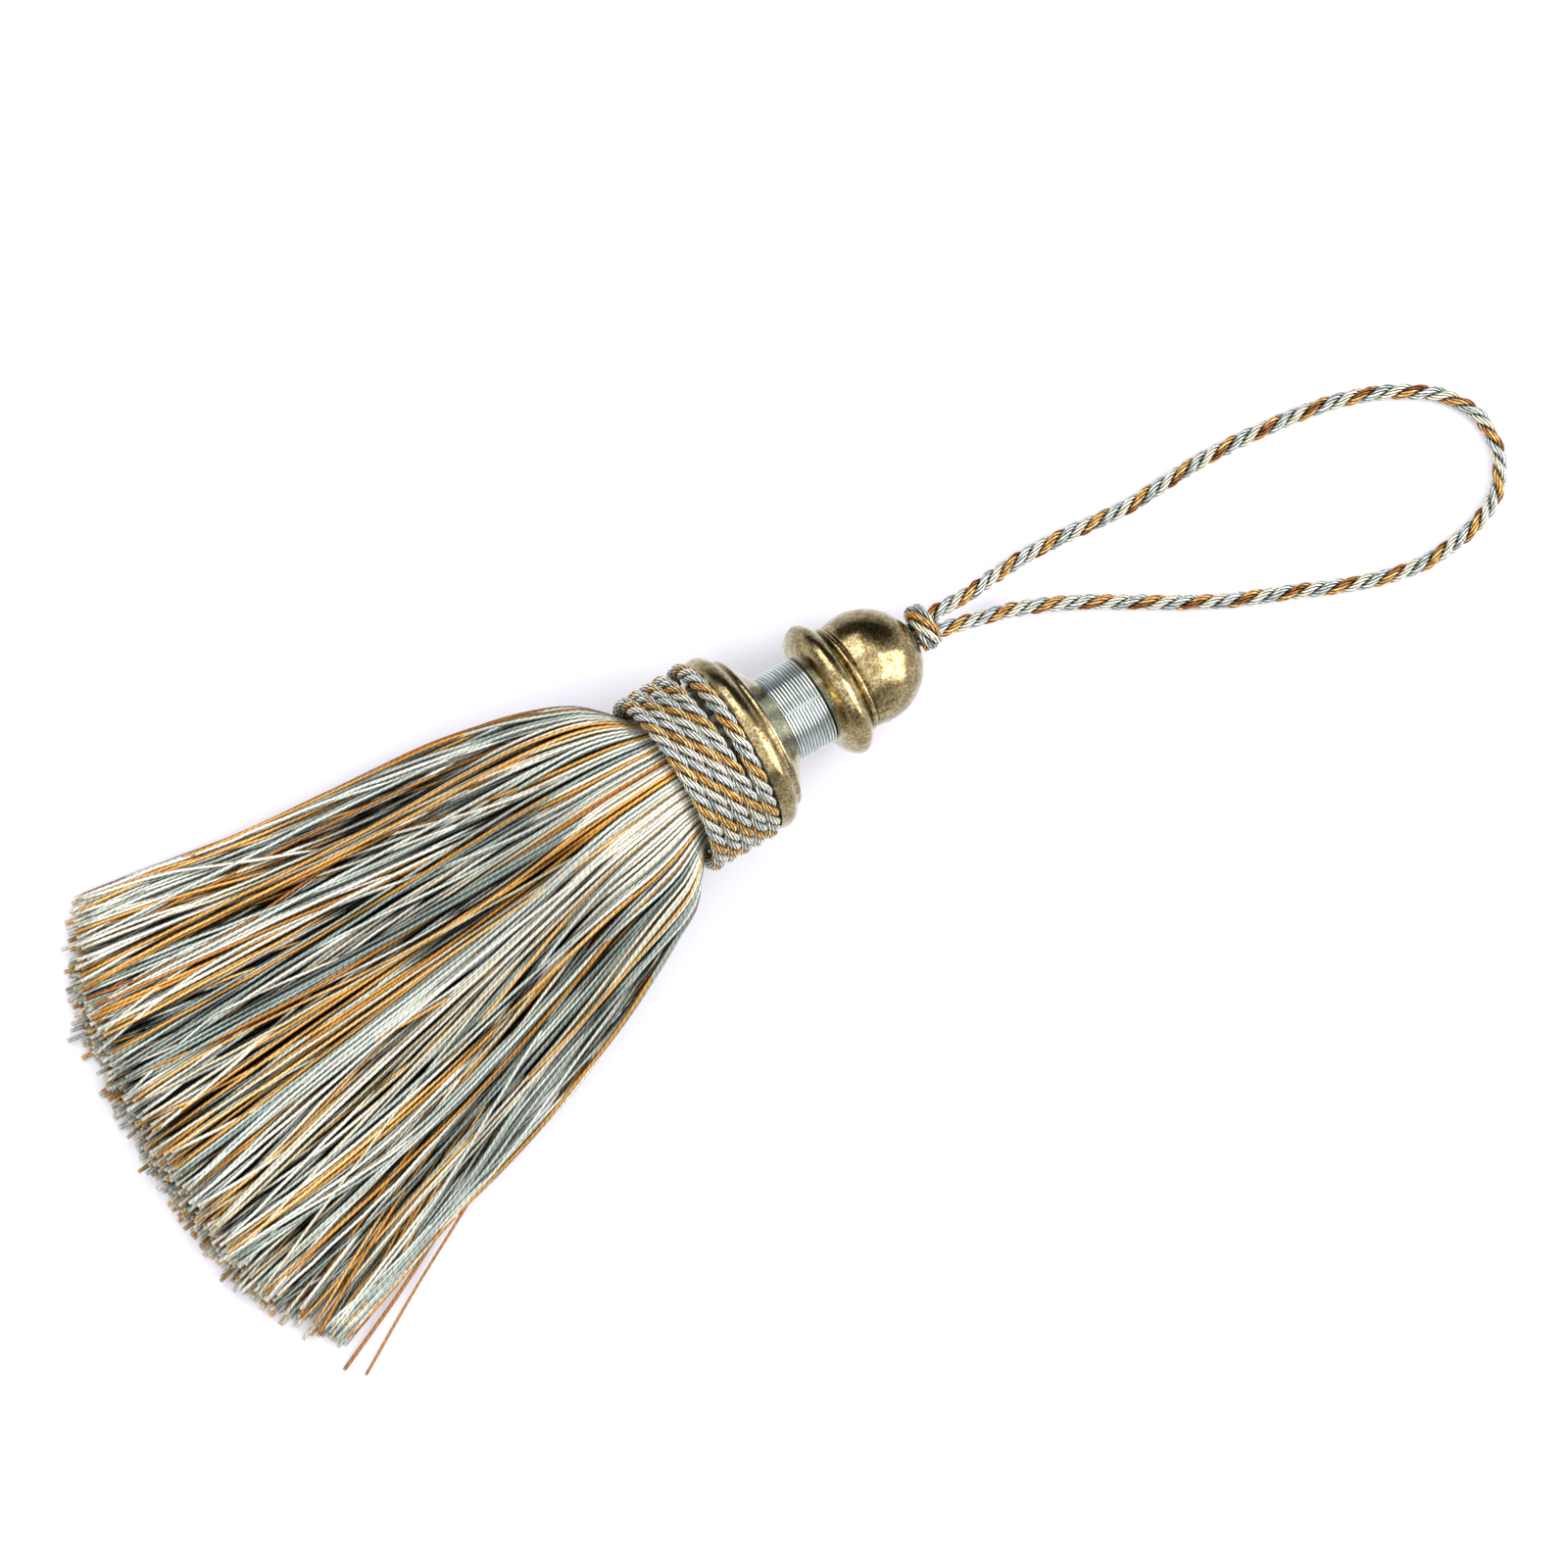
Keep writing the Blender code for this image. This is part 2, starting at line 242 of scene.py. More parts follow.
def tubeMesh(name, paths, reference, radii, depths, sides, materials, slots=None):
    # one closed tube for each path: paths are (tubes, rings, 3), radii and depths are (tubes, rings), and
    # slots choose a material for each tube
    tubes, rings = paths.shape[:2]
    normals, crosses = frameAlong(paths, reference)
    turn = (np.arange(sides) * 2 * math.pi / sides)[:, None]
    around = normals[:, :, None] * np.cos(turn) + crosses[:, :, None] * np.sin(turn)
    points = paths[:, :, None] + around * radii[:, :, None, None]
    ring = np.arange(rings - 1)[:, None]
    side = np.arange(sides)[None, :]
    after = (side + 1) % sides
    quads = np.stack([ring * sides + side, ring * sides + after, (ring + 1) * sides + after,
                      (ring + 1) * sides + side], axis=-1).reshape(-1, 4)
    starts = np.arange(tubes) * rings * sides
    allQuads = (quads[None] + starts[:, None, None]).reshape(-1, 4)
    firstCaps = starts[:, None] + side[:, ::-1]
    lastCaps = starts[:, None] + (rings - 1) * sides + side
    caps = np.concatenate([firstCaps, lastCaps])
    loops = np.concatenate([allQuads.reshape(-1), caps.reshape(-1)])
    counts = np.concatenate([np.full(len(allQuads), 4), np.full(len(caps), sides)])
    loopStarts = np.concatenate([[0], np.cumsum(counts)[:-1]])
    mesh = bpy.data.meshes.new(name)
    mesh.vertices.add(tubes * rings * sides)
    mesh.vertices.foreach_set("co", (points * mm).astype(np.float32).reshape(-1))
    mesh.loops.add(len(loops))
    mesh.loops.foreach_set("vertex_index", loops.astype(np.int32))
    mesh.polygons.add(len(counts))
    mesh.polygons.foreach_set("loop_start", loopStarts.astype(np.int32))
    mesh.update(calc_edges=True)
    # first layer: u once round the thread, which runs on to 1 at the seam, and v in millimetres along it
    ringOf = quads // sides
    across = (quads[:, :1] % sides + np.array([0, 1, 1, 0])) / sides
    across = np.broadcast_to(across, (tubes,) + quads.shape)
    walked = walkedAlong(paths)
    quadUv = np.stack([across, walked[:, ringOf]], axis=-1).reshape(-1, 2)
    addUv(mesh, "strand", np.concatenate([quadUv, np.zeros((caps.size, 2))]))
    # second layer: how deep each thread lies, and how far it is to its last end
    left = walked[:, -1:] - walked
    quadDepth = np.stack([depths[:, ringOf], left[:, ringOf]], axis=-1).reshape(-1, 2)
    ends = np.concatenate([np.repeat(depths[:, 0], sides), np.repeat(depths[:, -1], sides)])
    addUv(mesh, "depth", np.concatenate([quadDepth, np.stack([ends, 0 * ends], axis=-1)]))
    smooth = np.concatenate([np.ones(len(allQuads), bool), np.zeros(len(caps), bool)])
    mesh.polygons.foreach_set("use_smooth", smooth)
    for material in materials:
        mesh.materials.append(material)
    if slots is not None:
        faceSlots = np.concatenate([np.repeat(slots, len(quads)), slots, slots])
        mesh.polygons.foreach_set("material_index", faceSlots.astype(np.int32))
    return addObject(name, mesh)


def onHead(along, radius, angle):
    # a point by its distance along the head's axis, its distance from it, and its angle from the top to the
    # left; and the way it faces
    along, radius, angle = np.broadcast_arrays(along, radius, angle)
    outward = np.cos(angle)[..., None] * axisUp + np.sin(angle)[..., None] * axisLeft
    return collarCentre + along[..., None] * axisAlong + radius[..., None] * outward, outward


def smoothRoute(route, spacing, finePerSpan=20):
    # even steps along a Catmull-Rom curve through the route's own points
    knots = [np.array(point, float) for point in route]
    knots = [2 * knots[0] - knots[1]] + knots + [2 * knots[-1] - knots[-2]]
    fine = []
    for before, start, end, after in zip(knots, knots[1:], knots[2:], knots[3:]):
        for step in range(finePerSpan):
            t = step / finePerSpan
            square = (2 * before - 5 * start + 4 * end - after) * t ** 2
            cube = (3 * start - before - 3 * end + after) * t ** 3
            fine.append(0.5 * (2 * start + (end - before) * t + square + cube))
    fine.append(knots[-2])
    fine = np.array(fine)
    walked = walkedAlong(fine)
    count = max(2, int(round(walked[-1] / spacing)))
    even = np.linspace(0.0, walked[-1], count + 1)
    return np.stack([np.interp(even, walked, line) for line in fine.T], axis=1)


def curveThrough(stations, values, wanted):
    # Catmull-Rom through uneven stations; values are (threads, stations, 3), wanted (threads, rings)
    slopes = np.gradient(values, stations, axis=1)
    place = np.clip(np.searchsorted(stations, wanted) - 1, 0, len(stations) - 2)
    span = stations[place + 1] - stations[place]
    t = ((wanted - stations[place]) / span)[..., None]
    rows = np.arange(values.shape[0])[:, None]
    start, end = values[rows, place], values[rows, place + 1]
    startSlope = slopes[rows, place] * span[..., None]
    endSlope = slopes[rows, place + 1] * span[..., None]
    return ((2 * t ** 3 - 3 * t ** 2 + 1) * start + (t ** 3 - 2 * t ** 2 + t) * startSlope
            + (-2 * t ** 3 + 3 * t ** 2) * end + (t ** 3 - t ** 2) * endSlope)


multiply = {"blend_type": "MULTIPLY", "Fac": 1.0}

skirtThread = {
    "twist": 2.6,          # millimetres in a turn of its two plies
    "shine": 0.42,         # how much its filaments mirror
    "spread": 0.1,         # unevenness of the dye
    "grooveShadeLevel": 0.5,        # brightness left by the painted shade between the plies
    "flankShadeLevel": 0.1,        # brightness left by the painted shade on the flanks, against the next threads
    "flanks": (0.0, 0.8),  # cosines of where that painted shade is full and where it ends
    "buriedShade": (0.08, 0.9),   # how deep a thread lies where its painted shade starts, and where it is darkest
    "buriedShadeLevel": 0.02,      # brightness left by the painted shade there
    "cutEnds": True,
}
cordYarn = {**skirtThread, "twist": 2.4, "shine": 0.5, "flanks": (0.1, 0.9), "buriedShade": (0.25, 0.75),
            "buriedShadeLevel": 0.14, "cutEnds": False}


def spunThread(name, shades, finish):
    # twisted rayon: bright glassy filaments, with a hard light along each thread's crest, and painted shade
    # between its plies and on its flanks
    material, tree, shader = newMaterial(name)
    strand = addNode(tree, "UVMap", {"uv_map": "strand"})
    split = addNode(tree, "SeparateXYZ", links={0: strand})
    turns = addNode(tree, "Math", {"operation": "MULTIPLY_ADD", 1: 1 / finish["twist"]},
                    {0: split.outputs["Y"], 2: split.outputs["X"]})
    phase = addNode(tree, "Math", {"operation": "MULTIPLY", 1: 2 * math.pi}, {0: turns})
    wave = addNode(tree, "Math", {"operation": "COSINE"}, {0: phase})
    crest = addNode(tree, "Math", {"operation": "ABSOLUTE"}, {0: wave})
    island = addNode(tree, "NewGeometry")
    tone = addNode(tree, "ValToRGB", links={0: island.outputs["Random Per Island"]})
    setStops(tone, list(zip((0.0, 0.5, 1.0), map(linearColour, shades))))
    place = addNode(tree, "TexCoord")
    blotch = addNode(tree, "TexNoise", {"Scale": 1100.0, "Detail": 2.0}, {0: place.outputs["Object"]})
    low, high = 1 - finish["spread"], 1 + finish["spread"]
    fade = addNode(tree, "MapRange", {"From Min": 0.3, "From Max": 0.7, "To Min": low, "To Max": high},
                   {0: blotch})
    # painted shade: each thread is darker between its two plies
    groove = addNode(tree, "MapRange", {"From Max": 0.5, "To Min": finish["grooveShadeLevel"]}, {0: crest})
    shade = addNode(tree, "Math", {"operation": "MULTIPLY"}, {0: fade, 1: groove})
    # painted shade: each thread is darker on its flanks, away from the side it faces
    around = addNode(tree, "Math", {"operation": "MULTIPLY", 1: 2 * math.pi}, {0: split.outputs["X"]})
    facing = addNode(tree, "Math", {"operation": "COSINE"}, {0: around})
    flank = addNode(tree, "Math", {"operation": "ABSOLUTE"}, {0: facing})
    dark, clear = finish["flanks"]
    flankShade = addNode(tree, "MapRange", {"From Min": dark, "From Max": clear, "To Min": finish["flankShadeLevel"]},
                     {0: flank})
    shaded = addNode(tree, "Math", {"operation": "MULTIPLY"}, {0: shade, 1: flankShade})
    # painted bounce light: the darker the painted shade, the richer the colour is painted, as light bounces
    # between the filaments there
    deepen = addNode(tree, "MapRange", {"From Min": 0.2, "To Min": 1.6}, {0: shaded})
    shadeDeepenedTone = addNode(tree, "Gamma", links={0: tone, 1: deepen})
    body = addNode(tree, "MixRGB", multiply, {1: shadeDeepenedTone, 2: shaded})
    # painted shade: threads deep in the skirt, and yarns tucked in between two plies, are painted darker as
    # they lie in shade
    depth = addNode(tree, "UVMap", {"uv_map": "depth"})
    levels = addNode(tree, "SeparateXYZ", links={0: depth})
    buried = levels.outputs["X"]
    if finish["cutEnds"]:  # the hem lies open, so its painted shade is lighter there
        hem = addNode(tree, "MapRange", {"From Max": 3.5, "To Min": 0.3}, {0: levels.outputs["Y"]})
        buried = addNode(tree, "Math", {"operation": "MULTIPLY"}, {0: buried, 1: hem})
    first, worst = finish["buriedShade"]
    buriedShade = addNode(tree, "MapRange",
                   {"From Min": first, "From Max": worst, "To Min": 1.0, "To Max": finish["buriedShadeLevel"]},
                   {0: buried})
    colour = addNode(tree, "MixRGB", multiply, {1: body, 2: buriedShade})
    if finish["cutEnds"]:  # painted highlight: cut ends are painted paler, as fibres seen end-on catch the light
        tip = addNode(tree, "MapRange", {"From Min": 0.15, "From Max": 0.5, "To Min": 0.35, "To Max": 0.0},
                      {0: levels.outputs["Y"]})
        colour = addNode(tree, "MixRGB", {2: linearColour("#fff6dc")}, {0: tip, 1: colour})
    streak = addNode(tree, "Mapping", {"Scale": (9.0, 0.6, 1.0)}, {0: strand})
    fibre = addNode(tree, "TexNoise", {"Scale": 1.0, "Detail": 2.0}, {0: streak})
    height = addNode(tree, "Math", {"operation": "MULTIPLY_ADD", 1: 0.35}, {0: fibre, 2: crest})
    bump = addNode(tree, "Bump", {"Strength": 0.5, "Distance": 0.08 * mm}, {"Height": height})
    setUp(shader, {"Metallic": finish["shine"], "Roughness": 0.3, "IOR": 1.53},
          {"Base Color": colour, "Normal": bump})
    return material


def windingSilk():
    # floss laid flat and tight on the neck: painted shade as fine dark lines between the turns, and a satin
    # light along them
    material, tree, shader = newMaterial("paleBlueSilk")
    strand = addNode(tree, "UVMap", {"uv_map": "strand"})
    streak = addNode(tree, "Mapping", {"Scale": (3.0, 0.3, 1.0)}, {0: strand})
    fibre = addNode(tree, "TexNoise", {"Scale": 1.0, "Detail": 3.0}, {0: streak})
    tone = addNode(tree, "ValToRGB", links={0: fibre})
    setStops(tone, [(0.3, linearColour("#7c9ba2")), (0.7, linearColour("#f6fbf6"))])
    split = addNode(tree, "SeparateXYZ", links={0: strand})
    # painted shade: dark lines between the turns, broken by the fibre noise
    between = addNode(tree, "Math", {"operation": "PINGPONG", 1: 0.5}, {0: split.outputs["X"]})
    turnGapShade = addNode(tree, "Math", {"operation": "MULTIPLY_ADD", 1: -0.5}, {0: fibre, 2: between})
    line = addNode(tree, "MapRange", {"From Min": -0.26, "From Max": 0.03, "To Min": 0.02}, {0: turnGapShade})
    body = addNode(tree, "MixRGB", multiply, {1: tone, 2: line})
    bump = addNode(tree, "Bump", {"Strength": 0.35, "Distance": 0.03 * mm}, {"Height": fibre})
    setUp(shader, {"Metallic": 0.88, "Roughness": 0.17}, {"Base Color": body, "Normal": bump})
    return material


def giltWood():
    # turned wood under burnished bronze leaf and shellac: a fine broken grain of brighter and browner gold,
    # with lathe lines, and edges that go grey where the shellac mirrors the room
    material, tree, shader = newMaterial("antiqueGoldLeaf")
    place = addNode(tree, "TexCoord").outputs["Object"]
    leaf = addNode(tree, "TexNoise", {"Scale": 2200.0, "Detail": 4.0, "Roughness": 0.6}, {0: place})
    patch = addNode(tree, "TexNoise", {"Scale": 620.0, "Detail": 3.0}, {0: place})
    blend = addNode(tree, "Math", {"operation": "MULTIPLY_ADD", 1: 0.6}, {0: patch, 2: leaf})
    tone = addNode(tree, "ValToRGB", links={0: blend})
    golds = map(linearColour, ("#54441f", "#958258", "#c4b585"))
    setStops(tone, list(zip((0.6, 0.8, 1.0), golds)))
    rough = addNode(tree, "MapRange", {"From Min": 0.3, "From Max": 0.7, "To Min": 0.27, "To Max": 0.14},
                    {0: patch})
    turned = addNode(tree, "Mapping", {"Rotation": (0.0, -dip, 0.0), "Scale": (2600.0, 160.0, 160.0)},
                     {0: place})
    lathe = addNode(tree, "TexNoise", {"Scale": 1.0, "Detail": 2.0}, {0: turned})
    height = addNode(tree, "Math", {"operation": "MULTIPLY_ADD", 1: 0.4}, {0: lathe, 2: leaf})
    bump = addNode(tree, "Bump", {"Strength": 0.55, "Distance": 0.04 * mm}, {"Height": height})
    swell = addNode(tree, "Bump", {"Strength": 0.5, "Distance": 0.05 * mm},
                    {"Height": patch, "Normal": bump})
    setUp(shader, {"Metallic": 1.0, "Coat Weight": 0.5, "Coat Roughness": 0.12},
          {"Base Color": tone, "Roughness": rough, "Normal": swell})
    return material


gilt = giltWood()
paleSilk = windingSilk()
# shades run from the darkest strand to the palest
greyThread = spunThread("greyBlueThread", ("#909f9a", "#ced7cd", "#f6f8ee"), skirtThread)
ivoryThread = spunThread("ivoryThread", ("#d2c8a8", "#f5efdc", "#fffdf4"), skirtThread)
ochreThread = spunThread("ochreThread", ("#a26124", "#dba149", "#f9cc88"), skirtThread)
greyYarn = spunThread("greyBlueYarn", ("#a6b3b1", "#e6ece7", "#fdfffb"), {**cordYarn, "spread": 0.35})
ivoryYarn = spunThread("ivoryYarn", ("#ddd1af", "#fdf8e4", "#fffef8"), {**cordYarn, "spread": 0.25})
ochreYarn = spunThread("ochreYarn", ("#98591c", "#dca450", "#ffe3a6"),
                       {**cordYarn, "spread": 0.4, "flankShadeLevel": 0.08})
print("materials are mixed")


# The turned head's outline from its tip to its back. A point is its distance from the axis, then along it
# from the collar. A round's seat is its centre's distance from the axis, and its angles are in degrees.
head = {
    "ball": {"seat": 0.0, "centre": 25.0, "radius": 9.85, "start": 90.0, "end": -18.0, "steps": 40},
    "cove": [(8.95, 21.8)],
    "bead": {"seat": 9.0, "centre": 21.1, "radius": 0.6, "start": 75.0, "end": -75.0, "steps": 8},
    "flange": [(8.85, 20.35), (9.7, 20.15), (10.7, 19.7), (11.5, 19.05), (11.95, 18.4), (12.12, 17.7),
               (11.95, 17.0), (11.5, 16.3), (10.8, 15.65), (9.8, 15.05), (8.5, 14.6)],
    "neck": [(6.9, 14.6), (6.9, 7.0)],
    "slope": [(8.4, 7.0), (9.1, 6.4), (10.4, 5.5), (11.7, 4.6), (12.8, 3.9)],
    "ridge": {"seat": 13.3, "centre": 3.0, "radius": 0.6, "start": 80.0, "end": -20.0, "steps": 7},
    "groove": [(13.85, 2.45)],
    "dome": {"seat": 13.65, "centre": -0.1, "radius": 2.4, "start": 66.0, "end": -38.0, "steps": 14},
    "back": -1.58,
    "segments": 128,
    "wobble": 0.025,       # how far the turning is from true, at wobbleRadius from the axis
    "wobbleRadius": 12.0,
    "wobbleTwist": 0.23,   # how fast that goes round along the axis, in radians to a millimetre
    "sharp": 50.0,         # edges stay crisp from this angle, in degrees
}


def arc(seat, centre, radius, start, end, steps):
    angles = np.radians(np.linspace(start, end, steps + 1))
    return [(seat + radius * math.cos(a), centre + radius * math.sin(a)) for a in angles]


def headOutline():
    ball = head["ball"]
    outline = arc(**ball)
    outline[0] = (0.0, ball["centre"] + ball["radius"])
    outline += head["cove"] + arc(**head["bead"]) + head["flange"] + head["neck"] + head["slope"]
    outline += arc(**head["ridge"]) + head["groove"] + arc(**head["dome"])
    return outline + [(0.0, head["back"])]


def roundedOff(outline):
    # corner cutting, which turns every hard corner of the profile into a small round
    points = np.array(outline)
    near = points[:-1] * 0.75 + points[1:] * 0.25
    far = points[:-1] * 0.25 + points[1:] * 0.75
    return np.concatenate([points[:1], np.stack([near, far], axis=1).reshape(-1, 2), points[-1:]])


def makeHead():
    outline = roundedOff(headOutline())
    segments = head["segments"]
    angles = np.arange(segments) * 2 * math.pi / segments
    radius, along = outline[1:-1, :1], outline[1:-1, 1:]
    swing = np.sin(2 * angles + along * head["wobbleTwist"])
    wobble = head["wobble"] * swing * (radius / head["wobbleRadius"])
    points, _ = onHead(along, radius + wobble, angles[None, :])
    rows = len(points)
    tips = np.array([onHead(end[1], 0.0, 0.0)[0] for end in (outline[0], outline[-1])])
    faces = ringFaces(rows - 1, rows, segments)
    tip, base = rows * segments, rows * segments + 1
    for column in range(segments):
        after = (column + 1) % segments
        faces.append((tip, after, column))
        faces.append((base, (rows - 1) * segments + column, (rows - 1) * segments + after))
    mesh = bpy.data.meshes.new("giltHead")
    mesh.from_pydata((np.concatenate([points.reshape(-1, 3), tips]) * mm).tolist(), [], faces)
    mesh.shade_smooth()
    mesh.set_sharp_from_angle(angle=math.radians(head["sharp"]))
    mesh.materials.append(gilt)
    piece = addObject("giltHead", mesh)
    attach(piece, "root")
    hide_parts("turned_head")


makeHead()
print("head is turned")


winding = {
    "foot": 7.02, "top": 14.58, "radius": 7.87, "inside": 6.95, "segments": 96,
    "pitch": 0.58,          # width of a turn of floss
    "relief": 0.17,         # depth of the flutes between turns
    "rowsPerTurn": 9,
    "shoulder": 0.3,        # how far from each end the winding starts to round off
    "shoulderDrop": 0.25,   # and how far it falls there
}


def makeWinding():
    # floss flattens as it is wound, so the turns are a low fluting that climbs in one spiral
    bottom, top, pitch = winding["foot"], winding["top"], winding["pitch"]
    segments = winding["segments"]
    along = np.linspace(bottom, top, int((top - bottom) / pitch * winding["rowsPerTurn"]))[:, None]
    angle = (np.arange(segments) * 2 * math.pi / segments)[None, :]
    across = 2 * ((along / pitch + angle / (2 * math.pi)) % 1.0) - 1
    shoulder = np.minimum(1.0, np.minimum(along - bottom, top - along) / winding["shoulder"])
    fall = winding["shoulderDrop"] * (1 - shoulder) ** 2
    radius = winding["radius"] - winding["relief"] * across ** 2 - fall
    inside = [onHead(end, winding["inside"], angle)[0] for end in (bottom, top)]
    points = np.concatenate([inside[0], onHead(along, radius, angle)[0], inside[1]])
    faces = ringFaces(len(points), len(points), segments)
    mesh = bpy.data.meshes.new("silkWinding")
    mesh.from_pydata((points.reshape(-1, 3) * mm).tolist(), [], faces)
    mesh.shade_smooth()
    # u counts the turns, and v is millimetres round the neck
    where = np.array([loop.vertex_index for loop in mesh.loops])
    row, column = where // segments, where % segments
    climbed = np.concatenate([along[:1], along, along[-1:]])[row, 0] / pitch
    walked = column * 2 * math.pi * winding["radius"] / segments
    addUv(mesh, "strand", np.stack([climbed + column / segments, walked], axis=-1))
    mesh.materials.append(paleSilk)
    piece = addObject("silkWinding", mesh)
    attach(piece, "root")
    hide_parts("neck_winding")


makeWinding()
print("neck is wound")


# Three-ply cord: ochre, ivory and grey-blue plies laid to the left, each of six yarns. The lay is how long
# a turn of the plies is, and yarnTurn is how fast the yarns turn, in radians to a millimetre.
cord = {"diameter": 2.7, "lay": 8.28, "plyCentre": 0.71, "yarnCentre": 0.42, "yarnRadius": 0.22, "yarns": 6,
        "yarnTurn": 1.45, "sides": 5}


def cordPaths(centreline, reference, layStart):
    # the yarns' paths round a centreline, the way each ring of a yarn faces, and how far it is tucked in
    normals, crosses = frameAlong(centreline[None], reference[None])
    walked = walkedAlong(centreline)
    paths, facings, tucks = [], [], []
    for ply in range(3):
        lay = layStart - 2 * math.pi * walked / cord["lay"] + ply * 2 * math.pi / 3
        outward = normals[0] * np.cos(lay)[:, None] + crosses[0] * np.sin(lay)[:, None]
        plyLine = centreline + outward * cord["plyCentre"]
        sideways = np.cross(unit(np.gradient(plyLine, axis=0)), outward)
        for yarn in range(cord["yarns"]):
            spin = cord["yarnTurn"] * walked + yarn * 2 * math.pi / cord["yarns"] + ply
            facing = outward * np.cos(spin)[:, None] + sideways * np.sin(spin)[:, None]
            paths.append(plyLine + facing * cord["yarnCentre"])
            facings.append(facing)
            tucks.append(0.5 - 0.5 * np.cos(spin))
    return np.array(paths), np.array(facings), np.array(tucks)


def makeCord(name, centreline, reference, layStart):
    paths, facings, tucks = cordPaths(centreline, reference, layStart)
    radii = np.full(paths.shape[:2], cord["yarnRadius"])
    slots = np.repeat([0, 1, 2], cord["yarns"])
    yarnColours = [ochreYarn, greyYarn, ivoryYarn]
    piece = tubeMesh(name, paths, facings, radii, tucks, cord["sides"], yarnColours, slots)
    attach(piece, "root")
    return piece


def tuckedEnds(t, turns, share):
    # 1 along a winding, falling to 0 at its ends, where the cord dives under
    return np.clip(t / share, 0, 1) * np.clip((turns - t) / share, 0, 1)


ruff = {
    "turns": 5, "start": -1.9, "pitch": 2.6, "radius": 16.5, "spacing": 0.52, "layStart": 0.6,
    "jog": 0.12,          # share of a turn in which the cord steps over to the next
    "tuck": 0.06,         # share of a turn in which an end dives under, and how deep
    "tuckDepth": 1.6,
    "gapAt": 0.7,         # the turns gape most this far above the left side, in radians
    "pulled": 0.3,        # how far the first turn is pulled towards the ball there, and how proud it stands
    "proud": 0.4,
    "crowded": (0, 0.8, 0.6, 0.35, 0.1),  # how far the turns are pushed the other way there
    "unevenness": 0.05,
}


def makeRuff():
    # flat turns that step over to the next one underneath, where it doesn't show
    turns = ruff["turns"]
    centre = ruff["radius"] - cord["diameter"] / 2
    t = np.linspace(0.0, turns, int(turns * 2 * math.pi * centre / ruff["spacing"]))
    angle = math.pi + t * 2 * math.pi
    whole = np.round(t)
    step = np.clip((t - whole) / ruff["jog"] + 0.5, 0.0, 1.0)
    position = np.clip(whole - 1 + eased(step), 0, turns - 1)
    ends = tuckedEnds(t, turns, ruff["tuck"])
    left = np.clip(np.sin(angle + ruff["gapAt"]), 0, 1)
    first = position < 0.5
    crowded = np.interp(position, (0.5, 1, 2, 3, 4), ruff["crowded"])
    along = ruff["start"] - ruff["pitch"] * (position + 0.5) + left * (ruff["pulled"] * first - crowded)
    lift = ruff["proud"] * left ** 2 * first + ruff["unevenness"] * np.sin(angle * 1.7 + position * 2.1)
    path, outward = onHead(along, centre + lift - ruff["tuckDepth"] * (1 - ends), angle)
    piece = makeCord("cordRuff", path, outward, ruff["layStart"])
    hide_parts("ruff_band")


makeRuff()
print("ruff is wound")


knot = {
    "start": 35.1, "turns": 2.35, "pitch": 1.0, "radius": 4.25, "spacing": 0.3, "layStart": 3.7,
    "aside": 0.8, "raised": 0.8,  # how far the knot sits off the axis
    "sunk": 0.5,                  # how far its first turn sinks onto the ball
    "lead": 0.17, "tilt": 0.35,   # how its turns cross each other
    "begin": 2.4,                 # where round the axis it begins, in radians
    "tuck": 0.12, "tuckDepth": 1.4,
}


def makeKnot():
    centre = knot["radius"] - cord["diameter"] / 2
    turns = knot["turns"]
    t = np.linspace(0.0, turns, int(turns * 2 * math.pi * centre / knot["spacing"]))
    ends = tuckedEnds(t, turns, knot["tuck"])
    along = (knot["start"] + cord["diameter"] / 2 - knot["sunk"] + (t - knot["lead"]) * knot["pitch"]
             + knot["tilt"] * np.sin(2 * math.pi * t))
    path, outward = onHead(along, centre - knot["tuckDepth"] * (1 - ends), 2 * math.pi * t + knot["begin"])
    path = path + knot["aside"] * axisLeft + knot["raised"] * axisUp
    piece = makeCord("loopKnot", path, outward, knot["layStart"])
    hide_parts("loop_knot")
    return piece


loopRoute = (
    # ahead of the collar, left of the axis, and height
    (38.0, 1.3, 7.3), (39.5, 1.9, 6.9), (45.5, 1.7, 5.1), (52.0, 2.1, 3.2), (58.5, 2.2, 1.9),
    (66.0, 1.6, 1.4), (76.0, 0.5, 1.4), (85.0, 0.7, 1.4), (93.0, 0.7, 1.4), (102.0, -0.1, 1.4),
    (110.5, -1.3, 1.4), (118.0, -3.2, 1.4), (125.0, -6.3, 1.4), (131.0, -10.6, 1.4), (134.3, -15.9, 1.4),
    (134.8, -20.4, 1.4), (133.6, -25.2, 1.4), (130.6, -29.2, 1.4), (125.8, -31.8, 1.4), (120.0, -33.0, 1.4),
    (112.5, -33.1, 1.4), (103.0, -30.5, 1.4), (93.0, -26.2, 1.4), (83.0, -21.9, 1.4), (75.5, -17.8, 1.4),
    (68.0, -13.2, 1.4), (61.5, -9.3, 1.5), (55.0, -6.1, 2.5), (48.5, -3.7, 4.2), (39.5, -1.3, 6.9),
    (38.0, -0.8, 7.3),
)
loopSpacing = 0.4


def makeLoop(knotPiece):
    route = smoothRoute(loopRoute, loopSpacing) + collarFoot
    piece = makeCord("hangingLoop", route, np.broadcast_to(upright, route.shape), 0.0)
    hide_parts("hanging_loop")


makeLoop(makeKnot())
print("loop and knot are laid")


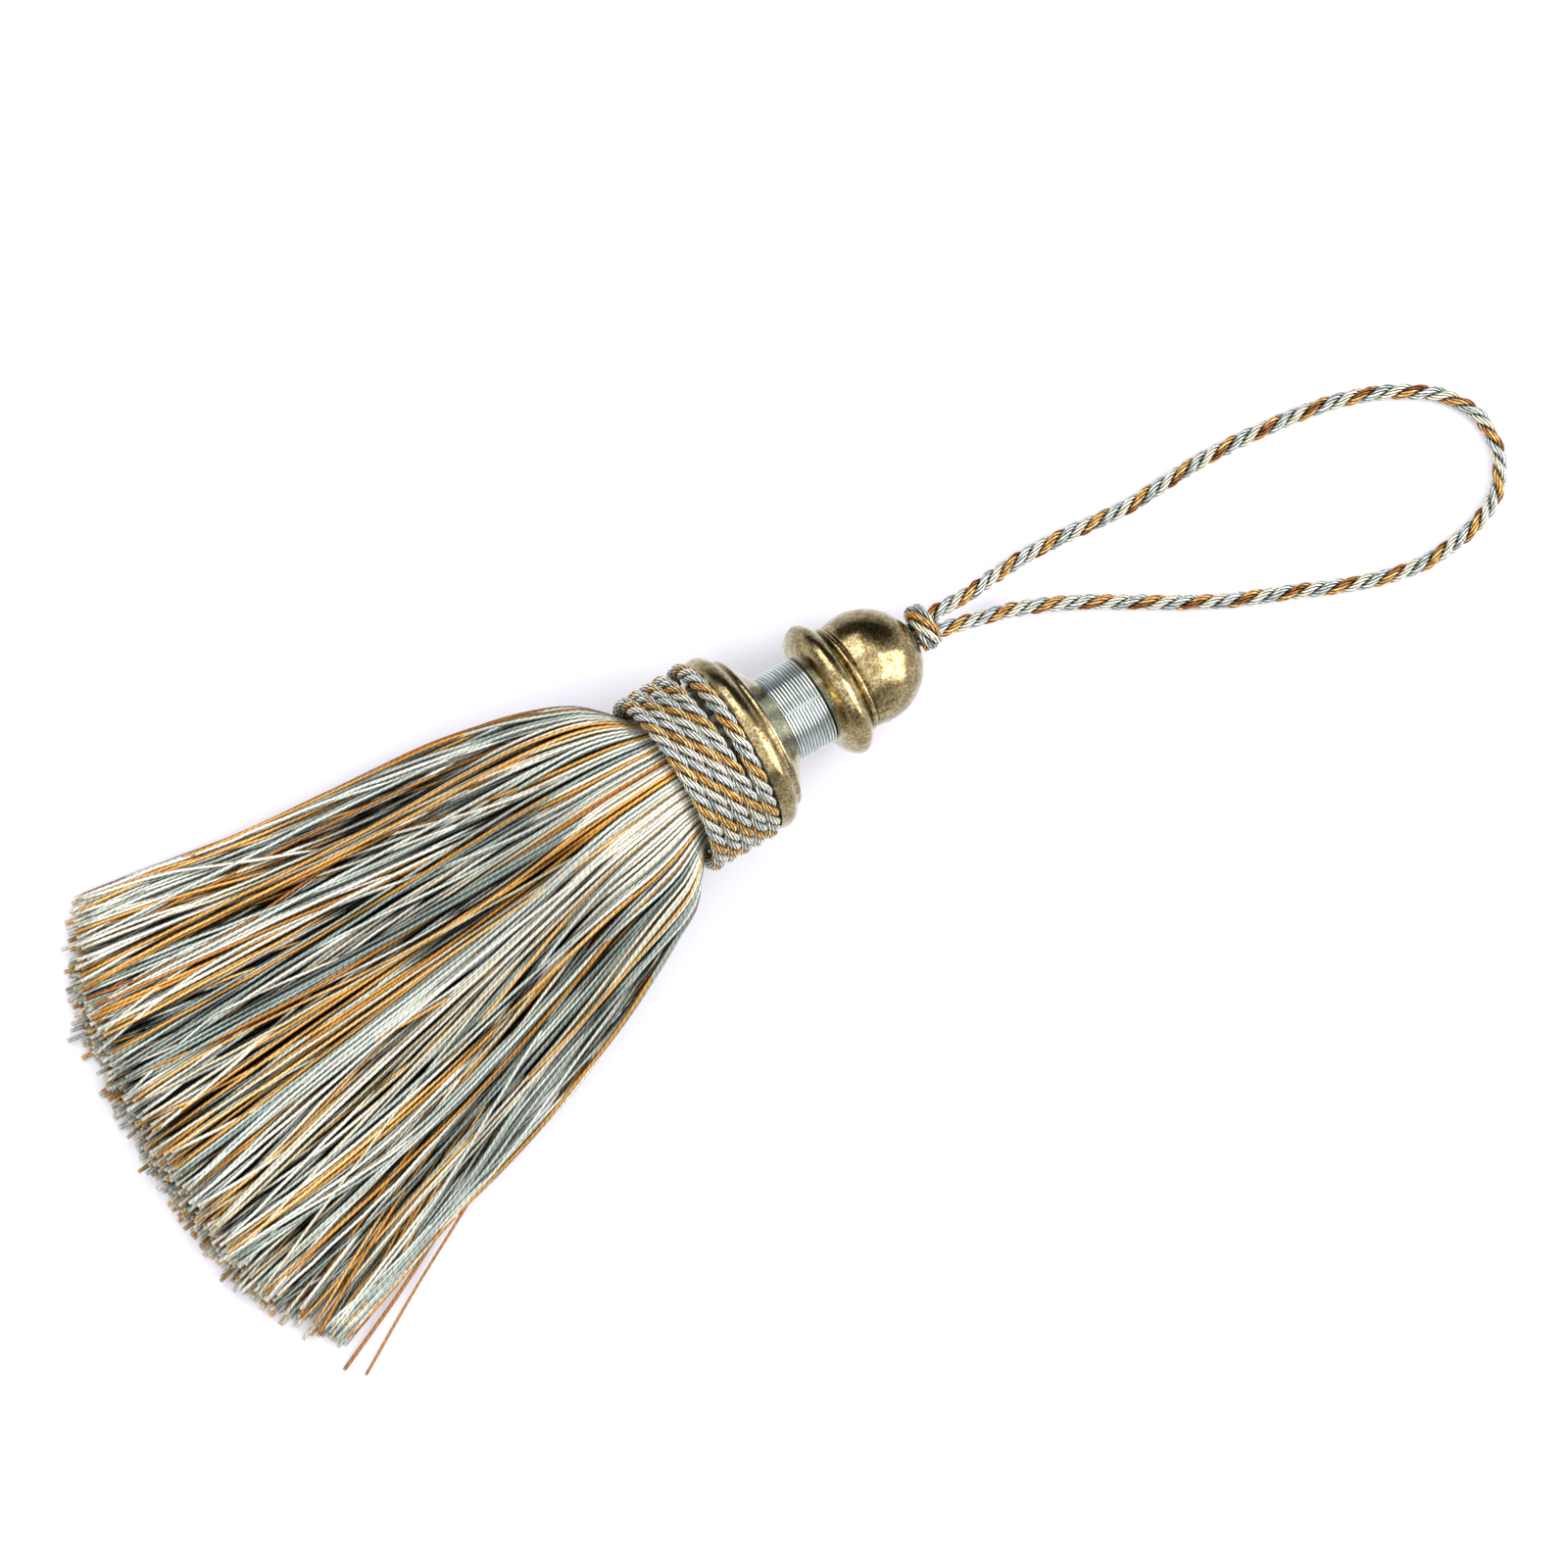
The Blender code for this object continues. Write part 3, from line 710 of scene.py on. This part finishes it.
# The skirt's sections behind the collar. Each has its widest line at its height, reaches so far left,
# right, above and below from there, has a flat share in its underside, and leans by so many degrees.
sectionNames = ("behind", "height", "left", "right", "rise", "drop", "flat", "lean")
skirtSections = (
    (16.1, 19.1, 15.9, 15.9, 15.0, 14.2, 0.00, 12.0),
    (18.5, 18.0, 18.8, 19.4, 16.9, 16.2, 0.05, 9.0),
    (23.5, 15.5, 22.2, 23.0, 19.4, 15.5, 0.20, 4.0),
    (30.0, 12.5, 24.8, 26.4, 19.5, 12.5, 0.40, 0.0),
    (41.0, 9.0, 26.9, 31.3, 17.0, 9.0, 0.55, 0.0),
    (55.0, 6.2, 28.1, 35.9, 13.6, 6.2, 0.66, 0.0),
    (71.0, 4.2, 29.2, 40.2, 10.6, 4.2, 0.74, 0.0),
    (88.0, 3.0, 30.8, 43.8, 8.4, 3.0, 0.80, 0.0),
    (104.0, 2.2, 33.2, 48.0, 7.0, 2.2, 0.84, 0.0),
    (120.0, 1.6, 35.2, 52.2, 6.0, 1.6, 0.87, 0.0),
)
skirtTop, skirtFoot = skirtSections[0][0], skirtSections[-1][0]
skirt = {
    "threads": 1150, "diameter": 0.69, "rings": 38, "sides": 5,
    "throat": 13.4,          # radius of the bundle under the ruff
    "throatStations": (12.0, 14.5),
    "stride": 4.0,           # distance between the sections that threads are placed in
    "arc": 13.0,             # how far the hem bows at its ends, and how much of that is close to them
    "corner": 0.65,
    "trim": 3.6,             # how much shorter the top threads are cut
    "unevenCut": 1.1,
    "overhang": 1.2,
    "ribbons": 300,          # threads lie together in flat ribbons of three or four
    "fan": (0.98, 1.45),     # how far apart a ribbon's threads lie, in thread diameters
    "ribbonDrift": 5.4,      # how far a ribbon strays sideways by the hem
    "threadDrift": 0.8,      # how far a thread strays from its ribbon
    "wild": 0.22,            # share of threads that leave their ribbon and cross others
    "wildDrift": 5.5,
    "driftPower": 1.15,      # threads stray faster towards the hem
    "sway": (1.5, 0.2),      # how far a ribbon bows on its way, and a thread in it
    "swayWaves": (3.0, 7.5),
    "riseDrift": (0.05, 0.01),  # and how far each changes level, as a share of the height
    "combed": 24.0,          # how far behind the collar the threads still lie as they were combed
    "ribboned": 0.35,        # share of the rest of the way by which they have gathered into ribbons
    "loosened": 0.2,         # and by which they lie loose on each other
    "sag": 0.08,             # how far a thread sags between two that it lies on
    "stiffness": 6,          # rounds of smoothing, as a thread is too stiff to follow every bump under it
    "shadeDepth": ((40.0, 110.0), (2.2, 1.35)),  # how deep a thread lies where its painted shade is darkest, by distance behind the collar
    "flankLight": {"from": 0.45, "over": 0.4, "gain": 1.3},  # how light gets in from the skirt's sides
    "fullness": ((16, 20, 40, 60), (1.0, 0.6, 0.7, 1.0)),  # by that distance too; below 1 fills out the top
    "kinks": {"size": 0.08, "waves": (11.0, 23.0), "from": 20.0, "over": 60.0},
    "thickness": (0.9, 1.06),
    "opening": 1.1,          # how far the twist opens at the cut
    "clearance": 0.02,
}
farOff = 99.0
dice = np.random.default_rng(11)
warp = np.random.default_rng(361)


def throatSection(behindAlong):
    height = lie["axisHeight"] + behindAlong * math.sin(dip)
    return (behindAlong * math.cos(dip), height) + (skirt["throat"],) * 4 + (0.0, lie["dip"])


def skirtLevels():
    # two sections in the throat, then even strides through the table
    rows = int((skirtFoot - skirtTop) / skirt["stride"])
    levels = np.linspace(skirtTop, skirtFoot, rows + 1)
    throat = np.array([throatSection(along) for along in skirt["throatStations"]])
    given = np.array(skirtSections)
    smooth = curveThrough(given[:, 0], given[None], levels[None])[0]
    return [dict(zip(sectionNames, row)) for row in np.concatenate([throat, smooth])]


def spanOf(section):
    # a section's middle, and half of its width
    return (section["left"] - section["right"]) / 2, (section["left"] + section["right"]) / 2


def sectionLimits(section, across):
    # upper and lower bounds of the section's material at a place across it, measured from its widest line
    corner = np.clip((np.abs(across) - section["flat"]) / (1 - section["flat"]), 0.0, 1.0)
    upper = section["rise"] * np.sqrt(np.clip(1 - across ** 2, 0.0, 1.0))
    lower = -section["drop"] * np.sqrt(np.clip(1 - corner ** 2, 0.0, 1.0))
    return upper, lower


def sharePlace(side, offset, section):
    # a place in a section as shares of its width and of its height there
    middle, half = spanOf(section)
    across = np.clip((side - middle) / half, -0.999, 0.999)
    upper, lower = sectionLimits(section, across)
    return across, np.clip((offset - lower) / np.maximum(upper - lower, 1e-6), 0.0, 1.0)


def squeezed(across, edge=0.9, room=0.1):
    # threads that would leave the skirt crowd together near its edge instead
    over = np.abs(across) - edge
    return np.where(over > 0, np.sign(across) * (edge + room * np.tanh(over / room)), across)


def inRings(number, reach, turnJitter=0.3, reachJitter=0.06):
    # even places in rings, the outermost ring full, as threads lie round a core
    spacing = math.sqrt(math.pi * reach ** 2 / number)
    side, offset = [], []
    radius = reach
    while radius > 0 and len(side) < number:
        share = min(max(1, round(2 * math.pi * radius / spacing)), number - len(side))
        angles = (np.arange(share) + dice.uniform(-turnJitter, turnJitter, share)) * 2 * math.pi / share
        reaches = np.minimum(radius + dice.normal(0.0, reachJitter, share), reach)
        side.extend(reaches * np.sin(angles))
        offset.extend(reaches * np.cos(angles))
        radius -= spacing
    return np.array(side), np.array(offset)


def gatherRibbons(side, offset):
    # which ribbon each thread belongs to, and its place from the ribbon's middle
    ribbonSide, ribbonOffset = inRings(skirt["ribbons"], skirt["throat"] - skirt["diameter"])
    ribbon = np.argmin(np.hypot(side[:, None] - ribbonSide, offset[:, None] - ribbonOffset), axis=1)
    rank = np.zeros(len(side))
    for number in range(len(ribbonSide)):
        members = np.where(ribbon == number)[0]
        members = members[np.argsort(side[members])]
        rank[members] = np.arange(len(members)) - (len(members) - 1) / 2
    return ribbonSide, ribbonOffset, ribbon, rank


def layDown(sides, wished, order, loose, rounds=4):
    # every thread rests on those laid before it where it crosses them, and bridges the dips between
    thick = skirt["diameter"]
    heights = wished.copy()
    done = []
    for thread in order:
        height = wished[thread].copy()
        if done:
            apart = np.abs(sides[done] - sides[thread])
            lift = np.where(apart < thick, np.sqrt(np.clip(thick ** 2 - apart ** 2, 0.0, None)), -farOff)
            resting = np.maximum(height, (heights[done] + lift).max(axis=0))
            height = height + (resting - height) * loose
        for _ in range(rounds):
            bridge = np.maximum(height[1:-1], (height[:-2] + height[2:]) / 2 - skirt["sag"])
            height[1:-1] += (bridge - height[1:-1]) * loose[1:-1]
        heights[thread] = height
        done.append(thread)
    for _ in range(skirt["stiffness"]):
        heights[:, 2:-1] = (heights[:, 1:-2] + 2 * heights[:, 2:-1] + heights[:, 3:]) / 4
    return heights


def pressDown(sides, heights, tops, bottoms, reach=2.5):
    # a pile higher than its section is pressed flat, but keeps the order of its layers
    pressed = heights.copy()
    for number in range(heights.shape[1]):
        side, height, bottom = sides[:, number], heights[:, number], bottoms[:, number]
        near = np.abs(side[:, None] - side[None]) < reach
        pile = np.where(near, height[None], -farOff).max(axis=1)
        room = np.clip((tops[:, number] - bottom) / np.maximum(pile - bottom, 0.1), 0.0, 1.0)
        pressed[:, number] = bottom + (height - bottom) * room
    return pressed


def buriedShare(sides, heights, sections):
    # how deep each thread lies at each section under or over the threads beside it, from 0 to 1
    # this share sets how dark each thread's painted shade is, lighter on the skirt's flanks
    light = skirt["flankLight"]
    deep = np.zeros(heights.shape)
    for number, section in enumerate(sections):
        side, height = sides[:, number], heights[:, number]
        near = np.abs(side[:, None] - side[None]) < 1.2 * skirt["diameter"]
        level = np.broadcast_to(height[None], near.shape)
        above = np.where(near, level, -farOff).max(axis=1) - height
        below = height - np.where(near, level, farOff).min(axis=1)
        middle, half = spanOf(section)
        flank = np.clip((np.abs(side - middle) / half - light["from"]) / light["over"], 0.0, 1.0)
        full = np.interp(section["behind"], *skirt["shadeDepth"]) * (1 + light["gain"] * flank)
        deep[:, number] = np.minimum(above, below) / full
    return np.clip(deep, 0.0, 1.0)


def threadStations():
    # where every thread crosses each section, with the share of its depth there
    sections = skirtLevels()
    thick = skirt["diameter"]
    side, offset = inRings(skirt["threads"], skirt["throat"] - thick / 2)
    ribbonSide, ribbonOffset, ribbon, rank = gatherRibbons(side, offset)
    count, ribbons = len(side), len(ribbonSide)
    startAcross, startShare = sharePlace(side, offset, sections[0])
    ribbonAcross, ribbonShare = sharePlace(ribbonSide, ribbonOffset, sections[0])
    ribbonSway, threadSway = skirt["sway"]
    ribbonRise, threadRise = skirt["riseDrift"]
    wild = dice.random(count) < skirt["wild"]
    lean = dice.normal(0.0, skirt["ribbonDrift"], ribbons)[ribbon]
    lean = lean + dice.normal(0.0, 1.0, count) * np.where(wild, skirt["wildDrift"], skirt["threadDrift"])
    sway = dice.normal(0.0, ribbonSway, ribbons)[ribbon] + dice.normal(0.0, threadSway, count)
    swayTurn = dice.uniform(0.0, 2 * math.pi, ribbons)[ribbon]
    swayWaves = dice.uniform(*skirt["swayWaves"], ribbons)[ribbon]
    fan = dice.uniform(*skirt["fan"], ribbons)[ribbon]
    rise = dice.normal(0.0, ribbonRise, ribbons)[ribbon] + dice.normal(0.0, threadRise, count)
    sides, wished, tops, bottoms = np.zeros((4, count, len(sections)))
    hemMiddle, hemHalf = spanOf(sections[-1])
    loose = np.zeros(len(sections))
    for number, section in enumerate(sections):
        behind = section["behind"]
        fall = max(0.0, (behind - skirt["combed"]) / (skirtFoot - skirt["combed"]))
        held = eased(min(1.0, fall / skirt["ribboned"]))
        loose[number] = min(1.0, fall / skirt["loosened"])
        middle, half = spanOf(section)
        half = half - thick / 2
        swayed = sway * (np.sin(swayTurn + swayWaves * fall) - np.sin(swayTurn))
        drift = lean * fall ** skirt["driftPower"] + swayed
        across = startAcross * (1 - held) + (ribbonAcross[ribbon] + rank * thick * fan / half) * held
        hemPlace = hemMiddle + (hemHalf - thick / 2) * across
        straight = side + (hemPlace - side) * max(0.0, (behind - skirtTop) / (skirtFoot - skirtTop))
        bowed = np.abs(across) ** 3  # only the outermost threads follow the flare, the others run straight
        across = squeezed(across * bowed + (straight - middle) / half * (1 - bowed) + drift / half)
        sides[:, number] = middle + half * across
        share = np.clip(startShare + (ribbonShare[ribbon] - startShare) * held + rise * fall, 0.0, 1.0)
        share = share ** np.interp(behind, *skirt["fullness"])
        upper, lower = sectionLimits(section, across)
        rim = np.minimum(thick / 2, (upper - lower) / 2)
        tops[:, number], bottoms[:, number] = upper - rim, lower + rim
        wished[:, number] = lower + rim + share * (upper - lower - 2 * rim)
    heights = layDown(sides, wished, np.argsort(ribbonShare[ribbon] + rise), loose)
    heights = pressDown(sides, heights, tops, bottoms)
    return sections, sides, heights, buriedShare(sides, heights, sections), ribbon, rank


def stationPoints(sections, sides, offsets):
    # world points of every thread at every section, with the bow of the hem
    points = np.zeros(sides.shape + (3,))
    for number, section in enumerate(sections):
        middle, half = spanOf(section)
        across = (sides[:, number] - middle) / half
        fall = max(0.0, (section["behind"] - skirtTop) / (skirtFoot - skirtTop))
        bow = (1 - skirt["corner"]) * across ** 2 + skirt["corner"] * across ** 4
        lean = math.radians(section["lean"])
        points[:, number, 0] = (lie["collarX"] - section["behind"] + skirt["arc"] * fall ** 2 * bow
                                + math.sin(lean) * offsets[:, number])
        points[:, number, 1] = lie["axisY"] + sides[:, number]
        points[:, number, 2] = section["height"] + math.cos(lean) * offsets[:, number]
    return points


# how the dyed ends were wound: how often grey-blue ones come before ivory ones in a ribbon, after how many
# of them it may change, and how often it has 0, 1 or 2 ochre ends among them or is nearly all ochre
dye = {"greyFirst": 0.58, "change": (1, 7), "ochreEnds": (0.28, 0.42, 0.20, 0.10)}


def threadColours(ribbon, rank):
    # 0 is grey-blue, 1 ivory and 2 ochre
    colours = np.zeros(len(ribbon), int)
    for number in range(ribbon.max() + 1):
        members = np.where(ribbon == number)[0]
        members = members[np.argsort(rank[members])]
        first, second = (0, 1) if warp.random() < dye["greyFirst"] else (1, 0)
        pale = np.where(np.arange(len(members)) < warp.integers(*dye["change"]), first, second)
        ochreEnds = warp.choice(4, p=dye["ochreEnds"])
        start = warp.choice((0, max(0, len(members) - ochreEnds)))
        if ochreEnds == 3:
            start, ochreEnds = 0, max(3, len(members) - 1)
        pale[start:start + ochreEnds] = 2
        colours[members] = pale
    return colours


strays = (
    # loose ochre threads: ahead of the collar, left of the axis and height along each, and its diameter
    {"diameter": 0.5, "route": ((-52.0, -27.5, 8.0), (-66.0, -35.6, 5.2), (-79.7, -43.2, 2.8),
                                (-94.0, -50.6, 0.9), (-108.3, -58.6, 0.4))},
    {"diameter": 0.66, "route": ((-60.0, -30.0, 6.0), (-78.0, -40.4, 3.4), (-95.0, -49.0, 1.4),
                                 (-111.0, -56.0, 0.5))},
    {"diameter": 0.6, "route": ((-30.0, 22.6, 14.0), (-42.0, 25.6, 12.0), (-55.0, 27.2, 8.4),
                                (-71.0, 29.0, 5.4), (-88.0, 31.2, 3.4), (-107.0, 34.6, 1.4))},
)


def strayPaths(rings):
    paths = []
    for stray in strays:
        fine = smoothRoute(stray["route"], 0.5) + collarFoot
        place = np.linspace(0, len(fine) - 1, rings)
        paths.append(np.stack([np.interp(place, np.arange(len(fine)), line) for line in fine.T], axis=1))
    return np.array(paths)


def kink(paths, wanted):
    # the threads' own small waves, which start once they are out of the ruff
    kinks, count = skirt["kinks"], len(paths)
    grown = np.clip((wanted - kinks["from"]) / kinks["over"], 0.0, 1.0)
    for wave in kinks["waves"]:
        phase = dice.random((count, 2, 1)) * 2 * math.pi
        size = dice.random((count, 2, 1)) * kinks["size"]
        for axis in (0, 1):
            swing = np.sin(wanted * 2 * math.pi / wave + phase[:, axis])
            paths[:, :, axis + 1] += grown * size[:, axis] * swing


def makeSkirt():
    sections, sides, offsets, deep, ribbon, rank = threadStations()
    points = stationPoints(sections, sides, offsets)
    colours = threadColours(ribbon, rank)
    stations = np.array([section["behind"] for section in sections])
    hem = sections[-1]
    topness = np.clip((offsets[:, -1] + hem["drop"]) / (hem["rise"] + hem["drop"]), 0.0, 1.0)
    count, rings = len(sides), skirt["rings"]
    uneven = dice.normal(0.0, skirt["unevenCut"], count)
    end = stations[-1] + skirt["overhang"] - skirt["trim"] * topness + uneven
    share = np.linspace(0.0, 1.0, rings)[None, :] ** 1.5  # rings lie closer where the skirt curves
    wanted = stations[0] + (end[:, None] - stations[0]) * share
    paths = curveThrough(stations, points, wanted)
    depths = np.clip(curveThrough(stations, deep[:, :, None], wanted)[:, :, 0], 0.0, 1.0)
    kink(paths, wanted)
    radius = skirt["diameter"] / 2
    paths[:, :, 2] = np.maximum(paths[:, :, 2], radius + skirt["clearance"])
    radii = radius * dice.uniform(*skirt["thickness"], (count, 1)) * np.ones((1, rings))
    radii[:, -1] *= skirt["opening"]
    paths = np.concatenate([paths, strayPaths(rings)])
    thin = np.array([stray["diameter"] / 2 for stray in strays])
    radii = np.concatenate([radii, thin[:, None] * np.ones((1, rings))])
    depths = np.concatenate([depths, np.zeros((len(strays), rings))])
    colours = np.concatenate([colours, np.full(len(strays), 2)])
    up = np.broadcast_to(upright, paths.shape)
    bundles = (("skirtGreyBlue", greyThread), ("skirtIvory", ivoryThread), ("skirtOchre", ochreThread))
    for colour, (name, material) in enumerate(bundles):
        chosen = colours == colour
        piece = tubeMesh(name, paths[chosen], up[chosen], radii[chosen], depths[chosen], skirt["sides"],
                         [material])
        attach(piece, "root")
        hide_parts("skirt")
        print(name, int(chosen.sum()), "threads")


makeSkirt()
print("skirt is hung")
